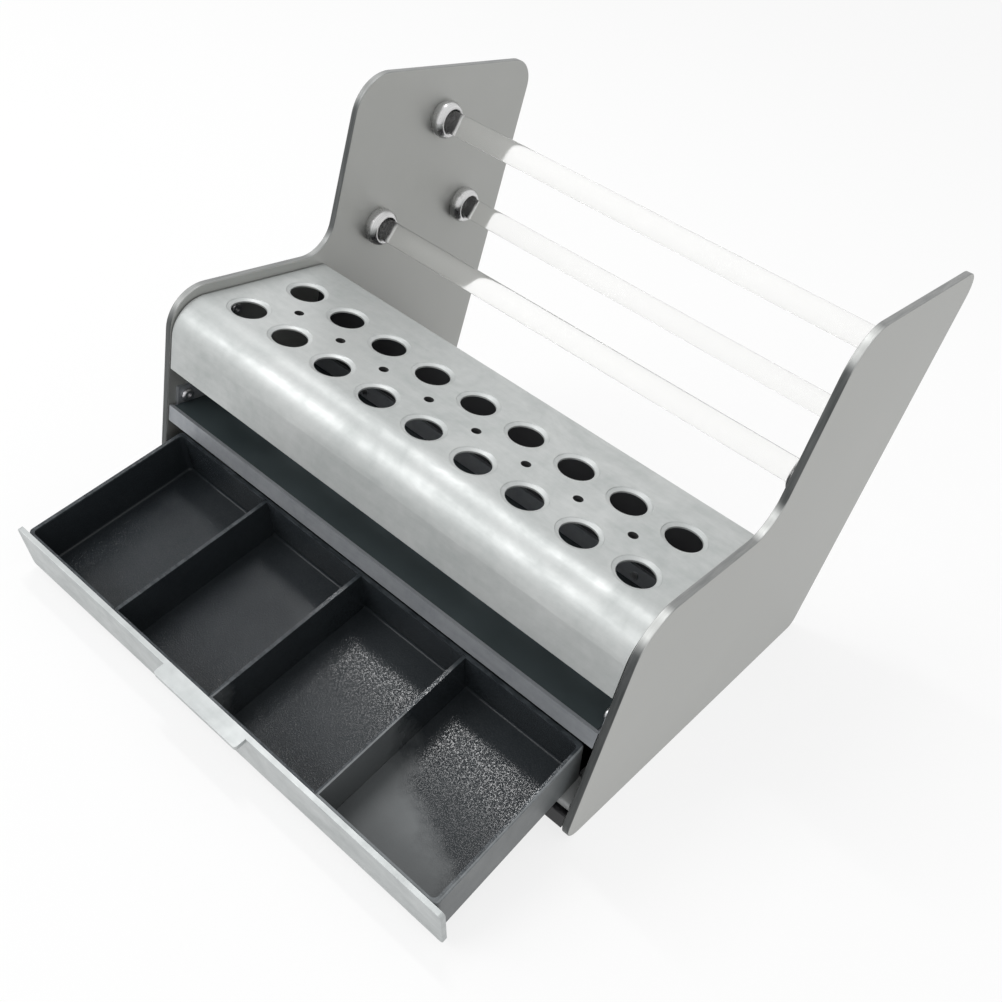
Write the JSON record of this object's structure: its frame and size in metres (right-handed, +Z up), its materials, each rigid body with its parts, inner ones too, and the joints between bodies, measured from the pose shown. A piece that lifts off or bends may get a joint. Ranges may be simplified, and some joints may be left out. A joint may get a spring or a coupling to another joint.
{
  "type": "plier rack",
  "caption": "Benchtop rack with side panels, rods to hang pliers on, a pierced hood for tool shafts, a narrow shelf and a divided drawer that droops when pulled out.",
  "frame": {"origin": "middle of the width and depth of the whole rack with its drawer pulled out, on the table under the side panels", "axes": "+X to the right seen from the front, +Y to the back, +Z up; the drawer comes out along -Y"},
  "size_m": [0.232, 0.2696, 0.1845],
  "materials": {
    "panels": "satin, fine vertical grain",
    "hood": "satin",
    "brackets": "satin",
    "shelf": "satin",
    "liner": "gloss black",
    "dark_sheet": "satin black",
    "clear_rods": "clear, polished",
    "sockets": "bright turned",
    "screws": "bright",
    "bumpers": "matte black",
    "glides": "light grey",
    "drawer_front": "satin",
    "tray": "black, fine orange peel"
  },
  "bodies": {
    "frame": {"back_wall": "dark_sheet", "back_wall_screws": "screws", "base_plate": "dark_sheet", "base_screws": "screws", "drawer_bumpers": "bumpers", "front_rod": "clear_rods", "hood_screws": "screws", "left_drawer_runner": "glides", "left_front_socket": "sockets", "left_hood_bracket": "brackets", "left_rear_socket": "sockets", "left_shoe_pin": "screws", "left_side_panel": "panels", "left_upper_socket": "sockets", "rear_rod": "clear_rods", "right_drawer_runner": "glides", "right_front_socket": "sockets", "right_hood_bracket": "brackets", "right_rear_socket": "sockets", "right_shoe_pin": "screws", "right_side_panel": "panels", "right_upper_socket": "sockets", "runner_screws": "screws", "shelf_mat": "liner", "shelf_screws": "screws", "tool_shelf": "shelf", "top_hood": "hood", "upper_rod": "clear_rods"},
    "glide_shoes": {"left_glide_shoe": "glides", "right_glide_shoe": "glides"},
    "drawer": {"drawer_divider_1": "tray", "drawer_divider_2": "tray", "drawer_divider_3": "tray", "drawer_front": "drawer_front", "drawer_front_screws": "screws", "drawer_tray": "tray"}
  },
  "joints": [
    {"name": "drawer_droop", "type": "hinge", "parent": "frame", "child": "glide_shoes", "pos_m": [0, -0.05901, 0.0166], "axis": [-1, 0, 0], "range_deg": [0, 17]},
    {"name": "drawer_slide", "type": "slide", "parent": "glide_shoes", "child": "drawer", "axis": [0, 0.9563, 0.2924], "range_m": [0, 0.0625]}
  ],
  "couplings": [
    {"joint": "drawer_droop", "follows": "drawer_slide", "rad_per_m": 4.7472}
  ]
}
